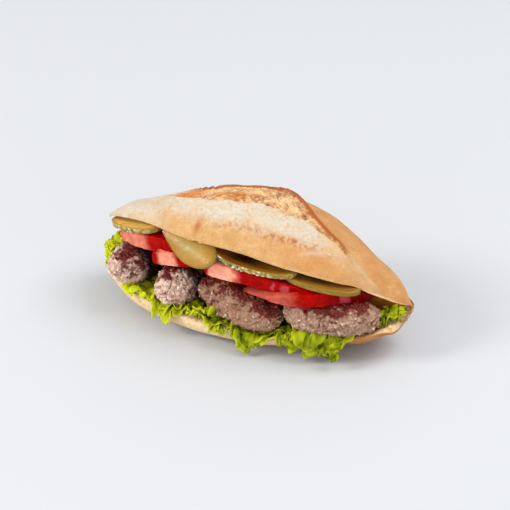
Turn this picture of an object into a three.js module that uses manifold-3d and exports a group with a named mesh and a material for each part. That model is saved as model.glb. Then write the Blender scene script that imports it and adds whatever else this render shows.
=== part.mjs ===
// Meatball sandwich: a pointed oval bread roll, cut open along its front and left end and still joined along
// its back, filled with a lettuce leaf, four meatballs, four half-moon tomato slices and four gherkin slices.
// Millimetres, +Z up, +X along the roll, the open side towards -Y. The roll stands on its flat underside.
import * as THREE from "three";
import { ParametricGeometry } from "three/addons/geometries/ParametricGeometry.js";
import { mergeVertices } from "three/addons/utils/BufferGeometryUtils.js";
import Module from "manifold-3d";

const wasm = await Module();
wasm.setup();
const { lerp, clamp, smoothstep, degToRad } = THREE.MathUtils;

// ---------------------------------------------------------------- driving dimensions
const RIGHT_LENGTH = 112; // of the roll, from its middle to the right tip
const LEFT_LENGTH = 107;
const BASE_FRONT_WIDTH = 47.5; // of the lower half, from the middle line to the front lip
const BASE_BACK_WIDTH = 40;
const BASE_FRONT_HEIGHT = 15;
const BASE_BACK_HEIGHT = 44;
const BASE_HOLLOW = 4; // how far the filling presses into the lower cut face
const CROWN_HALF_WIDTH = 44; // half the chord of the upper half's cut face
const CROWN_THICKNESS = 42; // from the cut face to the top of the dome
const CROWN_MIDDLE_HEIGHT = 45.5; // of the middle of the cut face
const CROWN_TILT = degToRad(22);
const CROWN_HOLLOW = 9;
const SCORE_DEPTH = 1.8;
const CROWN_SHIFT = [2.9, -6.2, 4.2]; // how far the filling pushes the upper half out
const RIGHT_TIP_HEIGHT = 29;
const LEFT_TIP_HEIGHT = 25;
const GAP = 0.32; // left between touching pieces
const SIMPLIFY = 0.1; // how far simplifying a cut piece may move its surface
const LEAF_THICKNESS = 1.5;

// ---------------------------------------------------------------- helpers
// A closed surface of two parameters: merges its seam and poles and drops the triangles that vanish there.
function closedSurface(pointAt, around, along) {
  const geometry = new ParametricGeometry((u, v, target) => target.set(...pointAt(u, v)), around, along);
  geometry.deleteAttribute("normal");
  geometry.deleteAttribute("uv");
  const merged = mergeVertices(geometry, 1e-4);
  const kept = [];
  const index = merged.index.array;
  for (let i = 0; i < index.length; i += 3) {
    const [a, b, c] = index.subarray(i, i + 3);
    if (a !== b && b !== c && c !== a) kept.push(a, b, c);
  }
  merged.setIndex(kept);
  return merged;
}

const toSolid = (geometry) =>
  new wasm.Manifold(
    new wasm.Mesh({
      numProp: 3,
      vertProperties: geometry.getAttribute("position").array,
      triVerts: new Uint32Array(geometry.index.array),
    }),
  );

function toGeometry(solid) {
  const mesh = solid.getMesh();
  const geometry = new THREE.BufferGeometry();
  geometry.setAttribute("position", new THREE.BufferAttribute(mesh.vertProperties, 3));
  geometry.setIndex(new THREE.BufferAttribute(mesh.triVerts, 1));
  return geometry;
}

const largestPart = (solid) => solid.decompose().reduce((a, b) => (a.volume() > b.volume() ? a : b));

// Turns degrees of forward tilt, of rise towards +X and of yaw, and a place, into a matrix.
const placed = ({ at, yaw = 0, rise = 0, tilt = 0 }) =>
  new THREE.Matrix4()
    .makeRotationFromEuler(new THREE.Euler(degToRad(tilt), degToRad(-rise), degToRad(yaw), "ZYX"))
    .setPosition(...at);

// Stations crowd towards the tips, so that the tips come out round.
const stationOf = (v) => -Math.cos(Math.PI * v);
const bump = (x, middle, spread) => Math.exp(-(((x - middle) / spread) ** 2));

// ---------------------------------------------------------------- bread roll
// The front lip bellies out left of the middle and draws in on the right.
function baseFrontWidth(s) {
  const belly = 5 * bump(s, -0.05, 0.33) - 8 * bump(s, 0.68, 0.2);
  const taper = (1 - Math.abs(s) ** (s > 0 ? 5.5 : 2.8)) ** (s > 0 ? 0.3 : 0.62);
  return (BASE_FRONT_WIDTH - 4 * s + belly) * taper;
}
const baseBackWidth = (s) => BASE_BACK_WIDTH * (1 - Math.abs(s) ** 1.7) ** 0.85;
const baseX = (s) => (s < 0 ? LEFT_LENGTH : RIGHT_LENGTH) * s;

// How far the blunt right end hangs below the tip.
const endDroop = (s) => 4 * bump(s, 0.97, 0.04) * smoothstep(1 - s, 0, 0.01);

// Height of the base's cut face; across runs from -1 at the front lip to 1 at the back.
function baseFaceHeight(s, across) {
  const tip = s > 0 ? RIGHT_TIP_HEIGHT : LEFT_TIP_HEIGHT;
  const mix = Math.abs(s) ** 3;
  const pressed = 3.4 * bump(baseX(s), 24, 16) + 2.8 * bump(baseX(s), 84, 12); // by the two long meatballs
  const front = lerp(BASE_FRONT_HEIGHT, tip, mix) - pressed - endDroop(s);
  const back = lerp(BASE_BACK_HEIGHT, tip, mix);
  const share = (1 + across) / 2;
  return lerp(front, back, share ** 3) - BASE_HOLLOW * (1 - mix) * Math.sin(Math.PI * share);
}

// Lower half: u runs under the crust from the front lip to the back, then back along the cut face.
function basePoint(u, v) {
  const s = stationOf(v);
  const tip = s > 0 ? RIGHT_TIP_HEIGHT : LEFT_TIP_HEIGHT;
  const lifted = s > 0 ? Math.max(0, (s - 0.3) / 0.7) ** 3.6 : Math.max(0, (-s - 0.35) / 0.65) ** 4;
  const under = tip * lifted - endDroop(s) * smoothstep(s, 0.8, 0.9);
  const crustEnd = 0.6;
  const angle = (Math.min(u, crustEnd) / crustEnd) * Math.PI;
  const across = u < crustEnd ? -Math.cos(angle) : lerp(1, -1, (u - crustEnd) / (1 - crustEnd));
  const width = across < 0 ? baseFrontWidth(s) : baseBackWidth(s);
  const face = baseFaceHeight(s, across);
  const roundness = 0.5 + 0.47 * smoothstep(s, 0.15, 0.6); // steep sides on the left, rounder on the right
  const drop = u < crustEnd ? (face - under + 1) * Math.sin(angle) ** roundness : 0;
  return [baseX(s), width * across, Math.max(under, face - drop)];
}

const crownPlan = (s) => (1 - Math.abs(s) ** (s > 0 ? 1.8 : 2.6)) ** (s > 0 ? 0.8 : 0.6);
function crownRise(s) {
  const fromPeak = s > 0.08 ? (s - 0.08) / 0.92 : (0.08 - s) / 1.08;
  const rise = (1 - fromPeak ** (s > 0.08 ? 1.8 : 1.4)) ** (s > 0.08 ? 1.08 : 0.87);
  const blunter = 0.28 * bump(s, -0.9, 0.14) + 0.95 * clamp((s - 0.68) / 0.27, 0, 1) ** 2; // at the tips
  return rise * (1 + blunter);
}
function crownMiddle(s) {
  const rightDip = s > 0 ? 2 * s - 2.5 * s * s : 0;
  return CROWN_MIDDLE_HEIGHT - 8 * s - 6.5 * s * s + rightDip - 2 * bump(s, 0.95, 0.08);
}

// How many degrees of the dome the cut takes off above the front lip.
function lipTrim(s) {
  if (s < 0) return 4 + 12 * smoothstep(-s, 0.25, 0.75);
  return 4 - 2.2 * smoothstep(s, 0, 0.35) - 1.8 * smoothstep(s, 0.7, 0.85) + 2 * bump(s, 0.71, 0.06);
}

// The baker's score, torn open along the top: 1 inside, 0 outside. Its front edge runs down to the front lip
// near the right tip; its back edge starts behind the ridge and meets the front edge there.
function scored(s, angle) {
  const ahead = s < 0 ? 131 - 38 * s * s : 131 - 6 * smoothstep(s, 0, 0.35);
  const front = ahead + 48 * smoothstep(s, 0.52, 0.83);
  const back = Math.min(84 + 70 * Math.min(0, s) ** 2 + 100 * Math.max(0, s - 0.13), front);
  const between = smoothstep(angle, back - 3, back + 5) * (1 - smoothstep(angle, front - 5, front + 3));
  return between * smoothstep(s, -0.75, -0.5);
}

// Upper half: u runs over the dome from the back to the front lip, then back along the cut face.
function crownPoint(u, v) {
  const s = stationOf(v);
  const width = CROWN_HALF_WIDTH * crownPlan(s);
  const crustEnd = 0.64;
  const lip = Math.PI - degToRad(lipTrim(s));
  const angle = (Math.min(u, crustEnd) / crustEnd) * lip;
  const across = u < crustEnd ? -Math.cos(angle) : lerp(-Math.cos(lip), -1, (u - crustEnd) / (1 - crustEnd));
  const toLip = (1 + across) / (1 - Math.cos(lip));
  const domeAt = (turn) => CROWN_THICKNESS * crownRise(s) * Math.sin(turn) ** 0.8;
  const hollow = CROWN_HOLLOW * crownRise(s) * Math.sin(Math.PI * toLip) ** 2;
  const score = u < crustEnd ? SCORE_DEPTH * scored(s, THREE.MathUtils.radToDeg(angle)) : 0;
  const up = u < crustEnd ? domeAt(angle) - score : domeAt(lip) * toLip ** 2 + hollow;
  const forward = width * across;
  const shift = s > 0 ? 1 + 0.5 * bump(s, 0.6, 0.25) - s ** 6 : 1;
  return [
    (s < 0 ? 105 : 110) * s + CROWN_SHIFT[0] * shift,
    up * Math.sin(CROWN_TILT) - forward * Math.cos(CROWN_TILT) + CROWN_SHIFT[1] * shift,
    crownMiddle(s) + forward * Math.sin(CROWN_TILT) + up * Math.cos(CROWN_TILT) + CROWN_SHIFT[2] * shift,
  ];
}

// ---------------------------------------------------------------- meatballs
// Hand-rolled fingers of minced meat: a capsule, flattened a little, with a lumpy outline.
const MEATBALLS = [
  { at: [-72, -20, 34], half: [27, 14.3, 14], yaw: 68, seed: 1 },
  { at: [-36, -25, 30], half: [28, 14.3, 14], yaw: 74, seed: 2 },
  { at: [6, -37, 27.6], half: [32.5, 14.3, 13.4], yaw: -15, rise: -3, seed: 3 },
  { at: [67.4, -31, 29.8], half: [31, 14.3, 12.6], yaw: 13, seed: 4 },
];

function meatball({ half, seed }, grow = 0) {
  const [length, width, height] = half.map((size) => size + grow);
  return closedSurface(
    (u, v) => {
      const around = 2 * Math.PI * u;
      const along = Math.PI * v;
      const lump = 1 + 0.04 * Math.sin(2 * around + 1.7 * seed) * Math.sin(3 * along + seed);
      const radius = Math.sin(along) ** 0.75 * lump;
      const across = radius * Math.cos(around);
      const up = radius * Math.sin(around);
      return [-length * Math.cos(along), width * across, height * up];
    },
    16,
    12,
  );
}

// ---------------------------------------------------------------- slices
// A slice: its outline is carried over a rounded edge from the middle of the underside to the middle
// of the top; thickness may change along the slice, and bend and curl lift its sides and ends.
const SLICE_PROFILE = [[0, -1], [0.6, -1], [0.97, -1], [1, -0.85], [1, 0.85], [0.97, 1], [0.6, 1], [0, 1]];

function slice(outlineAt, thicknessAt, bendTo, around, grow = 0) {
  const rings = SLICE_PROFILE.length - 1;
  return closedSurface(
    (u, v) => {
      const [reach, level] = SLICE_PROFILE[Math.round(v * rings)];
      const [outX, outY] = outlineAt(u);
      const length = Math.hypot(outX, outY);
      const stretch = reach * (1 + grow / length);
      return bendTo(outX * stretch, outY * stretch, level * (thicknessAt(outX * stretch) / 2 + grow));
    },
    around,
    rings,
  );
}

// Half-moon of tomato: a round skin side behind and the knife's cut in front, bowed a little. thick is the
// thickness at the left end and, from the share full of the half length on, further right.
const TOMATOES = [
  { at: [-62.5, -31.5, 54.8], yaw: -19, rise: 12, half: 26, depth: 25, bow: 3, thick: [11, 11] },
  { at: [-33, -38, 51], yaw: 12, rise: 3.5, half: 21, depth: 25, bow: 2, thick: [9.4, 9.4] },
  { at: [21, -43.5, 50.4], yaw: 3, rise: -4, half: 36.5, depth: 32, bow: 1, thick: [10.6, 9] },
  { at: [51, -30, 45.2], yaw: 17, rise: 6.5, half: 42, depth: 27, bow: 16, thick: [0.8, 10], full: 0 },
];
const TOMATO_TILT = 2; // degrees, forward

function tomato({ half, depth, bow, thick, full = 0.7 }, grow = 0) {
  const inward = (depth - bow) / 2;
  const outlineAt = (u) => {
    if (u < 0.5) {
      const angle = 2 * Math.PI * u;
      return [half * Math.cos(angle), depth * Math.sin(angle) - inward];
    }
    const t = lerp(-1, 1, (u - 0.5) * 2);
    return [half * t, -bow * (1 - t * t) - inward];
  };
  const thinner = (x) => 1 - 0.4 * smoothstep(x, 0.6 * half, half); // towards the right end
  const thicknessAt = (x) => lerp(...thick, smoothstep(x, -half, full * half)) * thinner(x);
  const droop = 0.4 * bow; // the long thin end of a strongly bowed slice hangs down
  const settle = (x, y, z) => [x, y + inward, z - droop * smoothstep(x, 0.3 * half, half)];
  return slice(outlineAt, thicknessAt, settle, 22, grow);
}

// Lengthwise slice of gherkin: a long oval that bends over what lies under it.
const GHERKINS = [
  { at: [-75, -20, 58.5], half: 27, width: 12, yaw: -30, rise: 17 },
  { at: [-26.7, -42.5, 65.8], half: 22, width: 11.5, taper: 0.45, bend: 45, yaw: -16, rise: -13, tilt: 42 },
  { at: [14, -36, 60.2], half: 33, width: 12, curl: 6, yaw: -6, rise: -1 },
  { at: [60.5, -31.1, 53.2], half: 26, width: 12, yaw: 10, rise: -8, tilt: -3 },
];
const GHERKIN_THICKNESS = 3.6;

function gherkin({ half, width, taper = 0, bend = 0, curl = 0 }, grow = 0) {
  const outlineAt = (u) => {
    const angle = 2 * Math.PI * u;
    const widthHere = width * (1 - taper * smoothstep(-Math.cos(angle), -0.2, 1)); // narrower at the left end
    return [half * Math.cos(angle), widthHere * Math.sin(angle) * Math.abs(Math.sin(angle)) ** -0.15 || 0];
  };
  const bendTo = (x, y, z) => {
    const lifted = curl * smoothstep(-x / half, 0.2, 1.1);
    if (bend === 0) return [x, y, z + lifted];
    const radius = width / degToRad(bend);
    const angle = y / radius;
    return [x, (radius + z) * Math.sin(angle), (radius + z) * Math.cos(angle) - radius + lifted];
  };
  return slice(outlineAt, () => GHERKIN_THICKNESS, bendTo, 20, grow);
}

// ---------------------------------------------------------------- lettuce
// One leaf laid on the lower cut face. w runs from its back margin (0) to its frilly front margin (1),
// which rolls over the front lip and hangs in lobes; towards the right tip it stays inside the lip.
const LEAF_ROLL_RADIUS = 2.4;

function leafPoint(s, w, side, grow) {
  const x = (s < 0 ? 106 : 101) * s;
  const station = x / (s < 0 ? LEFT_LENGTH : RIGHT_LENGTH);
  const front = baseFrontWidth(station);
  const back = 0.2 * baseBackWidth(station);
  const onFace = front + back;
  const fringe = 0.5 + smoothstep(x, -60, -30);
  const lobes = 9 * bump(x, -44, 9) + 14 * bump(x, 19, 9) + 12 * bump(x, 58, 12) + 11 * bump(x, 78, 9);
  const inside = smoothstep(x, 80, 92); // of the lip
  const reach = (fringe + lobes) * (1 - inside) - 9 * inside + 3 * bump(x, -104, 6);
  const along = w * (onFace + reach);
  const pressed = Math.max(0, 1 - 1.1 * bump(x, 22, 20) - 1.1 * bump(x, 84, 13));
  const frill = (0.8 + 2.6 * w ** 3) * pressed;
  const lift = 9 * smoothstep(-x, 86, 103);
  const ruffle = frill * (1 + Math.sin(0.32 * x + 3 * w) * Math.cos(0.11 * x + 1)) * 0.5;
  const thick = LEAF_THICKNESS * Math.min(1, 12 * (1 - w), 12 * w, 18 * (1 - Math.abs(s)));
  const off = 0.7 + lift + ruffle + side * (thick / 2 + (thick > 0 ? grow : 0));
  const past = along - onFace;
  if (past < 0) {
    const y = back - along;
    const across = y < 0 ? y / front : y / baseBackWidth(station);
    return [x, y, baseFaceHeight(station, across) + off];
  }
  const turned = Math.min(past / LEAF_ROLL_RADIUS, Math.PI / 2);
  const down = Math.max(0, past - (LEAF_ROLL_RADIUS * Math.PI) / 2);
  const lip = baseFaceHeight(station, -1);
  return [
    x,
    -front - (LEAF_ROLL_RADIUS + off) * Math.sin(turned),
    Math.max(0.6, lip - LEAF_ROLL_RADIUS + (LEAF_ROLL_RADIUS + off) * Math.cos(turned) - down),
  ];
}

const leaf = (grow = 0) =>
  closedSurface(
    (u, v) => leafPoint(lerp(-1, 1, v), u < 0.5 ? 2 * u : 2 - 2 * u, u < 0.5 ? 1 : -1, grow),
    18,
    34,
  );

// ---------------------------------------------------------------- assembly
// Firm pieces keep their form; softer ones give way round them and leave the gap.
const root = new THREE.Group();
function addPiece(name, solid, colour, roughness) {
  const material = new THREE.MeshStandardMaterial({ color: colour, roughness, metalness: 0 });
  const mesh = new THREE.Mesh(toGeometry(solid), material);
  mesh.name = name;
  root.add(mesh);
  return mesh;
}

const firm = []; // the grown solids of every piece placed so far
function addFilling(name, build, piece, colour, roughness) {
  const matrix = placed(piece);
  const solid = toSolid(build(piece).applyMatrix4(matrix));
  const cleared = firm.length ? largestPart(solid.subtract(wasm.Manifold.union(firm))) : solid;
  firm.push(toSolid(build(piece, GAP).applyMatrix4(matrix)));
  addPiece(name, firm.length > 1 ? cleared.simplify(SIMPLIFY) : cleared, colour, roughness);
}

MEATBALLS.forEach((piece, i) => addFilling(`meatball_${i + 1}`, meatball, piece, 0x8a6a5e, 0.6));
[1, 3, 0, 2].forEach((i) => {
  addFilling(`tomato_${i + 1}`, tomato, { ...TOMATOES[i], tilt: TOMATO_TILT }, 0xc41a12, 0.3);
});
[1, 0, 3, 2].forEach((i) => addFilling(`gherkin_${i + 1}`, gherkin, GHERKINS[i], 0xa8922f, 0.35));

const filling = wasm.Manifold.union(firm);
addPiece("lettuce", largestPart(toSolid(leaf()).subtract(filling)).simplify(SIMPLIFY), 0x8fb51e, 0.55);

const base = toSolid(closedSurface(basePoint, 24, 26));
const crown = toSolid(closedSurface(crownPoint, 25, 27));
const roll = base.add(crown).subtract(filling).subtract(toSolid(leaf(GAP)));
addPiece("bread", largestPart(roll).simplify(SIMPLIFY), 0xdca86a, 0.85);

// The origin is the middle of the underside of the whole.
const box = new THREE.Box3().setFromObject(root);
const middle = box.getCenter(new THREE.Vector3());
root.children.forEach((mesh) => mesh.geometry.translate(-middle.x, -middle.y, -box.min.z));

export default root;
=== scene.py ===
"""Meatball sandwich: a cut bread roll filled with lettuce, meatballs, tomato and gherkin slices.

Millimetres in the shapes, metres in Blender, +X along the roll, +Z up, the open side towards -Y.
"""
import math

import bpy
import numpy as np
from mathutils import Matrix, Vector


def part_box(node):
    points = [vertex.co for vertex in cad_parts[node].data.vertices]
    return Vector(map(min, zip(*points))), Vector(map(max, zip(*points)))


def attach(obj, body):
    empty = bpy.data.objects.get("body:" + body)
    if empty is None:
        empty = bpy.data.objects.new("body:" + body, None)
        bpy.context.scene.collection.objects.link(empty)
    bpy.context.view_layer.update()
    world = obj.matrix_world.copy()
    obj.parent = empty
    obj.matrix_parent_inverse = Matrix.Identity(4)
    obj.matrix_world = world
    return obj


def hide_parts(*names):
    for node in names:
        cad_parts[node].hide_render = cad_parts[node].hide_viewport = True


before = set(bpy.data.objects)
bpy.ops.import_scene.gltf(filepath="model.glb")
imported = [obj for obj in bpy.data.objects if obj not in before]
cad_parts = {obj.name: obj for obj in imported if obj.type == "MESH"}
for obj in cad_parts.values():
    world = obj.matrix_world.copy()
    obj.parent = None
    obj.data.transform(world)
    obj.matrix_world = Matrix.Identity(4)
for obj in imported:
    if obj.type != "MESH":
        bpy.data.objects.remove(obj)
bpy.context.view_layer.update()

# ------------------------------------------------------------------------------------------ bread roll
# A white wheat roll, proofed in a pointed oval, dusted with flour, scored once along its top and baked
# on stone, so the score tore open and left a crisp ear behind it. It is cut open along the front with a
# bread knife and stays joined along the back; the filling props the upper half, the crown, forward.
RIGHT_LENGTH = 112  # of the roll, from its middle to the right tip
LEFT_LENGTH = 107
BASE_FRONT_WIDTH = 47.5  # of the lower half, from the middle line to the front lip
BASE_BACK_WIDTH = 40
BASE_FRONT_HEIGHT = 15
BASE_BACK_HEIGHT = 44
BASE_HOLLOW = 4  # how far the filling presses into the lower cut face
CROWN_HALF_WIDTH = 44  # half the chord of the upper half's cut face
CROWN_THICKNESS = 42
CROWN_MIDDLE_HEIGHT = 45.5
CROWN_TILT = math.radians(22)
CROWN_HOLLOW = 9
CROWN_RIGHT_LENGTH = 110
CROWN_LEFT_LENGTH = 105
CROWN_SHIFT = (2.9, -6.2, 4.2)  # how far the filling pushes the crown out
DOME_POWER = 0.8  # of the sine that rounds the crown from back to front
RIGHT_TIP_HEIGHT = 29
LEFT_TIP_HEIGHT = 25
SCORE_DEPTH = 2.0
EAR_HEIGHT = 1.7  # of the crisp edge that the oven lifts behind the score
EAR_STEP = 2.6  # how far the crust behind that edge sinks
CRUMB_HOLE = 3.6  # between the holes of the cut crumb
BUBBLE = 2.7  # between the open bubbles of the torn crumb
SMALL_BUBBLE = 1.6  # and between those in their walls
BASE_GRID = (230, 72, 28)  # stations, columns round the crust, columns across the cut face
CROWN_GRID = (380, 170, 14)


def smooth(x, low, high):
    """0 below low, 1 above high, and the cubic 3t^2 - 2t^3 between them."""
    t = np.clip((x - low) / (high - low), 0, 1)
    return t * t * (3 - 2 * t)


def between(x, rise, fall):
    """1 from the end of the rise to the start of the fall and 0 outside both: the cubic of the rise,
    times what the cubic of the fall leaves of 1."""
    return smooth(x, *rise) * (1 - smooth(x, *fall))


def bump(x, middle, spread):
    """A bell: e to the power of minus the square of the distance from its middle, counted in spreads."""
    return np.exp(-(((x - middle) / spread) ** 2))


def mix(a, b, share):
    """a where share is 0, b where it is 1, and a straight line between."""
    return a + (b - a) * share


def scatter(cells, seed):
    """A random number from 0 to 1 for each lattice cell, from products and shifts of its three whole
    numbers."""
    whole = cells.astype(np.int64).astype(np.uint32)
    mixed = whole[..., 0] * np.uint32(374761393) + whole[..., 1] * np.uint32(668265263)
    mixed = mixed + whole[..., 2] * np.uint32(2246822519) + np.uint32(seed * 3266489 + 101)
    mixed = (mixed ^ (mixed >> np.uint32(13))) * np.uint32(1274126177)
    mixed = (mixed ^ (mixed >> np.uint32(15))) * np.uint32(2654435761)
    return ((mixed ^ (mixed >> np.uint32(16))) & np.uint32(0xFFFFFF)) / float(0x1000000)


CORNERS = np.array([(i, j, k) for i in (0, 1) for j in (0, 1) for k in (0, 1)])


def noise(points, size, seed, octaves=1):
    """Smooth noise from -1 to 1, its features size mm wide: random numbers at the corners of a lattice,
    blended across each cell by the cubic. Each further octave is half as wide and half as strong."""
    total = 0
    for octave in range(octaves):
        spot = points / (size / 2**octave) + 17.3 * octave
        cell = np.floor(spot)
        share = spot - cell
        share = share * share * (3 - 2 * share)
        value = 0
        for corner in CORNERS:
            weight = np.prod(np.where(corner == 1, share, 1 - share), axis=-1)
            value = value + weight * scatter(cell + corner, seed + octave)
        total = total + (2 * value - 1) / 2**octave
    return total


def wobble(points, size, seed, octaves=1):
    """How far each point strays along each axis, from -1 to 1: three noises of one size."""
    return np.stack([noise(points, size, seed + k, octaves) for k in range(3)], axis=-1)


NEIGHBOURS = np.array([(i, j, k) for i in (-1, 0, 1) for j in (-1, 0, 1) for k in (-1, 0, 1)])


def grains(points, size, seed):
    """Packed grains size mm apart: one seed point at a random place in each lattice cell. Gives the
    distance to the nearest seed, how much further the second is, both in cells, and a random number for
    the nearest."""
    spot = points / size
    cell = np.floor(spot)
    nearest = np.full(spot.shape[:-1], 9.0)
    second = np.full(spot.shape[:-1], 9.0)
    label = np.zeros(spot.shape[:-1])
    for step in NEIGHBOURS:
        near = cell + step
        seeds = near + np.stack([scatter(near, seed + k) for k in range(3)], axis=-1)
        distance = np.linalg.norm(seeds - spot, axis=-1)
        closer = distance < nearest
        second = np.where(closer, nearest, np.minimum(second, distance))
        label = np.where(closer, scatter(near, seed + 7), label)
        nearest = np.where(closer, distance, nearest)
    return nearest, second - nearest, label


def as_points(x, y, z):
    """One grid of points from rows, columns or grids of their coordinates."""
    return np.stack(np.broadcast_arrays(x, y, z), axis=-1)


def normals_of(points):
    """Unit normals of a grid: the cross product of its differences along rows and along columns, which
    wrap, turned to point away from its middle."""
    wrapped = np.concatenate([points[:, -1:], points, points[:, :1]], axis=1)
    across = wrapped[:, 2:] - wrapped[:, :-2]
    along = np.gradient(points, axis=0)
    normal = np.cross(along, across)
    length = np.linalg.norm(normal, axis=-1, keepdims=True)
    middle = points.mean(axis=(0, 1))
    outward = np.sign(np.sum(normal * (points - middle)))
    return outward * normal / np.maximum(length, 1e-9)


def grid_piece(name, points, masks):
    """A closed mesh from a grid of points in mm. Each row runs round the piece and closes on itself, and
    the first and last rows shrink to one point each. masks are numbers for each point, kept as
    attributes."""
    rows, columns = points.shape[:2]
    count = (rows - 2) * columns
    index = 1 + np.arange(count).reshape(rows - 2, columns)
    beside = np.roll(index, -1, axis=1)
    quads = np.stack([index[:-1], beside[:-1], beside[1:], index[1:]], axis=-1).reshape(-1, 4)
    first = np.stack([np.zeros(columns, int), beside[0], index[0]], axis=-1)
    last = np.stack([np.full(columns, count + 1), index[-1], beside[-1]], axis=-1)

    def flat(grid):
        """A grid as one list: its first row's mean, all points between, and its last row's mean."""
        body = grid[1:-1].reshape(count, -1)
        return np.concatenate([grid[:1].mean(axis=1), body, grid[-1:].mean(axis=1)])

    spots = flat(points)
    a, b, c, d = (spots[quads[:, k]] for k in range(4))
    volume = np.sum(a * np.cross(b, c)) + np.sum(a * np.cross(c, d))
    faces = quads.tolist() + first.tolist() + last.tolist()
    if volume < 0:
        faces = [face[::-1] for face in faces]
    mesh = bpy.data.meshes.new(name)
    mesh.from_pydata((spots + ROLL_MIDDLE) / 1000, [], faces)
    for key, grid in masks.items():
        kind = "FLOAT" if grid.ndim == 2 else "FLOAT_VECTOR"
        layer = mesh.attributes.new(key, kind, "POINT")
        values = flat(grid[..., None] if grid.ndim == 2 else grid)
        layer.data.foreach_set("value" if grid.ndim == 2 else "vector", values.astype(np.float32).ravel())
    mesh.shade_smooth()
    piece = bpy.data.objects.new(name, mesh)
    bpy.context.collection.objects.link(piece)
    return piece


def base_front_width(s):
    """From the middle line to the front lip: a blunt power curve that closes at the tips, with a belly
    left of the middle and a waist on the right."""
    belly = 5 * bump(s, -0.05, 0.33) - 8 * bump(s, 0.68, 0.2)
    taper = np.clip(1 - np.abs(s) ** np.where(s > 0, 5.5, 2.8), 0, 1) ** np.where(s > 0, 0.3, 0.62)
    return (BASE_FRONT_WIDTH - 4 * s + belly) * taper


def base_back_width(s):
    """From the middle line to the back: a softer power curve."""
    return BASE_BACK_WIDTH * np.clip(1 - np.abs(s) ** 1.7, 0, 1) ** 0.85


def base_x(s):
    """Distance along the roll of station s, which runs from -1 at the left tip to 1 at the right."""
    return np.where(s < 0, LEFT_LENGTH, RIGHT_LENGTH) * s


def end_droop(s):
    """How far the blunt right end hangs below the tip: a smooth bump just short of it."""
    return 4 * bump(s, 0.97, 0.04) * smooth(1 - s, 0, 0.01)


def base_face_height(s, across):
    """Height of the lower cut face, across from -1 at the front lip to 1 at the back: it rises with the
    cube of the way back, less a half wave where the filling presses, and runs out into the tips. Two
    meatballs press the lip down, and it droops at the blunt right end."""
    tip = np.where(s > 0, RIGHT_TIP_HEIGHT, LEFT_TIP_HEIGHT)
    to_tip = np.abs(s) ** 3
    pressed = 3.4 * bump(base_x(s), 24, 16) + 2.8 * bump(base_x(s), 84, 12)
    front = mix(BASE_FRONT_HEIGHT, tip, to_tip) - pressed - end_droop(s)
    share = (1 + across) / 2
    face = mix(front, mix(BASE_BACK_HEIGHT, tip, to_tip), share**3)
    return face - BASE_HOLLOW * (1 - to_tip) * np.sin(np.pi * share)


# Where the roll's own middle line lies in the frame: its left tip and front lip touch the bread's box.
bread_low = np.array(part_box("bread")[0]) * 1000
widest = base_front_width(np.linspace(-1, 1, 2001)).max()
ROLL_MIDDLE = np.array([bread_low[0] + LEFT_LENGTH, bread_low[1] + widest, 0])


def stations(rows, even):
    """rows stations along the roll, closer together towards the tips: minus the cosine of an even turn,
    mixed with even steps in the share even."""
    walk = np.linspace(-1, 1, rows)
    return mix(-np.cos(np.pi * (walk + 1) / 2), walk, even)[:, None]


def halves(turns, face_columns, lip):
    """Columns round one half: the crust at the given shares of the lip's angle, then the cut face back
    again. Gives the angle, the place across from -1 to 1, and 1 on the cut face."""
    crust = lip * turns[None, :]
    back = mix(-np.cos(lip), -1, np.linspace(0, 1, face_columns + 2)[None, 1:-1])
    angle = np.concatenate([crust, lip + 0 * back], axis=1)
    across = np.concatenate([-np.cos(crust), back], axis=1)
    on_face = np.concatenate([0 * crust, 1 + 0 * back], axis=1)
    return angle, across, on_face


def base_surface(s, angle, across, on_face):
    """The lower half: under the crust from front lip to back by a power of the angle's sine, flat
    underneath and curving up towards the tips, then along the cut face. The sides are steep on the left,
    rounder on the right."""
    tip = np.where(s > 0, RIGHT_TIP_HEIGHT, LEFT_TIP_HEIGHT)
    right_lift = np.maximum(0, (s - 0.3) / 0.7) ** 3.6
    left_lift = np.maximum(0, (-s - 0.35) / 0.65) ** 4
    under = tip * np.where(s > 0, right_lift, left_lift) - end_droop(s) * smooth(s, 0.8, 0.9)
    width = np.where(across < 0, base_front_width(s), base_back_width(s))
    face = base_face_height(s, across)
    sine = np.maximum(0, np.sin(angle))
    side_power = 0.5 + 0.47 * smooth(s, 0.15, 0.6)
    drop = np.where(on_face == 1, 0, (face - under + 1) * sine**side_power)
    height = np.maximum(under, face - drop)
    return as_points(base_x(s), width * across, height)


rows, crust_columns, face_columns = BASE_GRID
s = stations(rows, 0)
angle, across, on_face = halves(np.linspace(0, 1, crust_columns), face_columns, np.pi + 0 * s)
plain = base_surface(s, angle, across, on_face)
outward = normals_of(plain)
crumb = on_face
crust = 1 - crumb

# Swellings of the crust, holes in the cut crumb, and a hump of crumb behind the filling on the right.
swell = 0.5 * noise(plain, 26, 11) + 0.22 * noise(plain, 8, 12) + 0.08 * noise(plain, 2.4, 14)
hole, _, _ = grains(plain, CRUMB_HOLE, 13)
pores = -1.3 * smooth(0.42 - hole, 0, 0.3) + 0.3 * noise(plain, 2.6, 15, 2)
inner = 1 - smooth(np.abs(across), 0.97, 1)
hump = 11 * bump(s, 0.8, 0.12) * between(across, (-0.2, 0.2), (0.6, 0.9))
relief = np.where(crumb == 1, inner * pores + hump, swell)
points = plain + outward * relief[..., None]
points[..., 2] = np.maximum(points[..., 2], 0)

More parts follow.
